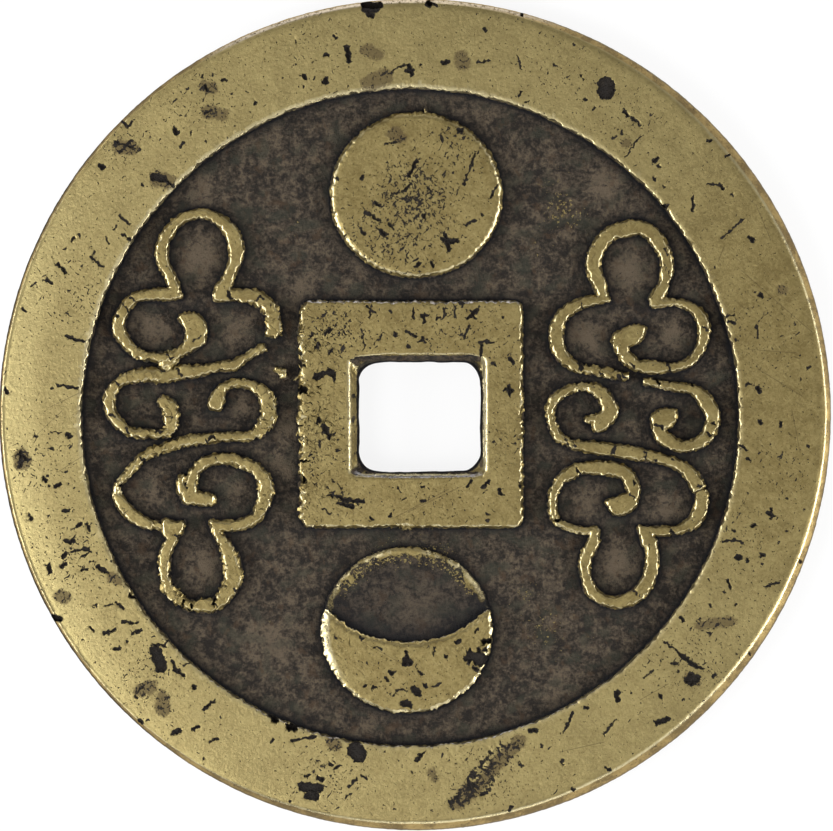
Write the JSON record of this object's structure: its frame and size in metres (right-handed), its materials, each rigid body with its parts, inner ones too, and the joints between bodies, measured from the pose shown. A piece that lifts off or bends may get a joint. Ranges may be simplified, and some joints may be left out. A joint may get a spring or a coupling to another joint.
{
  "type": "chinese cash coin",
  "caption": "Large cast bronze cash coin with a square hole, broad rims and a sun, crescent moon and cloud scrolls in relief.",
  "frame": {"origin": "centre of the coin's outline on the plane of its plain side, which it lies on", "axes": "+Z from the plain side towards the decorated side, +Y towards the sun above the hole, +X to the right as seen with the sun on top"},
  "size_m": [0.056, 0.056, 0.0034],
  "materials": {
    "worn_brass": "satin, rubbed bright with dark pits",
    "dark_patina": "matt dark brown patina"
  },
  "bodies": {
    "root": {"field_plate": "dark_patina", "front_rim": "worn_brass", "back_rim": "worn_brass", "front_hole_collar": "worn_brass", "back_hole_collar": "worn_brass", "sun_disc": "worn_brass", "moon_crescent": "worn_brass", "moon_dish": "dark_patina", "left_cloud_upper_head": "worn_brass", "left_cloud_upper_tail": "worn_brass", "left_cloud_lower_tail": "worn_brass", "left_cloud_lower_head": "worn_brass", "right_cloud_upper_head": "worn_brass", "right_cloud_upper_tail": "worn_brass", "right_cloud_lower_tail": "worn_brass", "right_cloud_lower_head": "worn_brass"}
  },
  "joints": []
}
